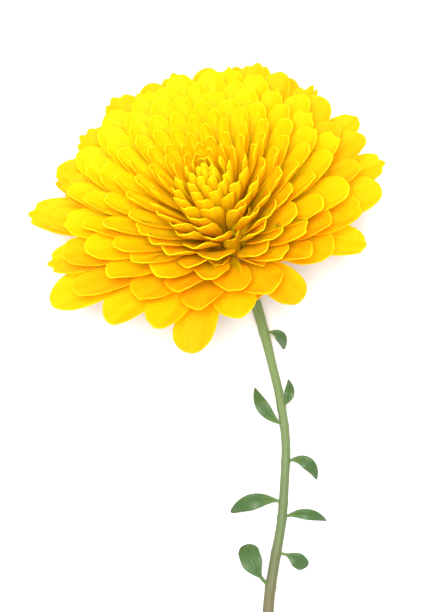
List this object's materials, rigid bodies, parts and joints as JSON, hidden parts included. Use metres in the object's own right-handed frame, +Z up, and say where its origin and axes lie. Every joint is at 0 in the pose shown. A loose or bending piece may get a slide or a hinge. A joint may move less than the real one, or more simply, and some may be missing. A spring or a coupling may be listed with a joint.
{
  "type": "cut chrysanthemum",
  "caption": "Cut double chrysanthemum lying down: domed head of cupped overlapping ray florets, curved ribbed stem, small pointed or rounded leaves.",
  "frame": {"origin": "centre of the bounding box at the surface the flower lies on", "axes": "+Z up from that surface; the stem runs towards -Y and the head is at +Y; the head's face is turned up and towards +Y"},
  "size_m": [0.0896, 0.1456, 0.0521],
  "materials": {
    "petal": "satin",
    "heart": "satin",
    "stem": "satin",
    "leaf": "satin",
    "bract": "satin"
  },
  "bodies": {
    "root": {"heart_florets": "heart", "involucre": "bract", "leaf_1": "leaf", "leaf_2": "leaf", "leaf_3": "leaf", "leaf_4": "leaf", "leaf_5": "leaf", "leaf_6": "leaf", "leaf_7": "leaf", "leaf_8": "leaf", "ray_floret_01": "petal", "ray_floret_02": "petal", "ray_floret_03": "petal", "ray_floret_04": "petal", "ray_floret_05": "petal", "ray_floret_06": "petal", "ray_floret_07": "petal", "ray_floret_08": "petal", "ray_floret_09": "petal", "ray_floret_10": "petal", "ray_floret_11": "petal", "ray_floret_12": "petal", "ray_floret_13": "petal", "ray_floret_14": "petal", "ray_floret_15": "petal", "ray_floret_16": "petal", "ray_floret_17": "petal", "ray_floret_18": "petal", "ray_floret_19": "petal", "ray_floret_20": "petal", "ray_floret_21": "petal", "ray_floret_22": "petal", "ray_floret_23": "petal", "ray_floret_24": "petal", "ray_floret_25": "petal", "ray_floret_26": "petal", "ray_floret_27": "petal", "ray_floret_28": "petal", "ray_floret_29": "petal", "ray_floret_30": "petal", "ray_floret_31": "petal", "ray_floret_32": "petal", "ray_floret_33": "petal", "ray_floret_34": "petal", "ray_floret_35": "petal", "ray_floret_36": "petal", "ray_floret_37": "petal", "ray_floret_38": "petal", "ray_floret_39": "petal", "ray_floret_40": "petal", "ray_floret_41": "petal", "ray_floret_42": "petal", "ray_floret_43": "petal", "ray_floret_44": "petal", "stem": "stem"}
  },
  "joints": []
}
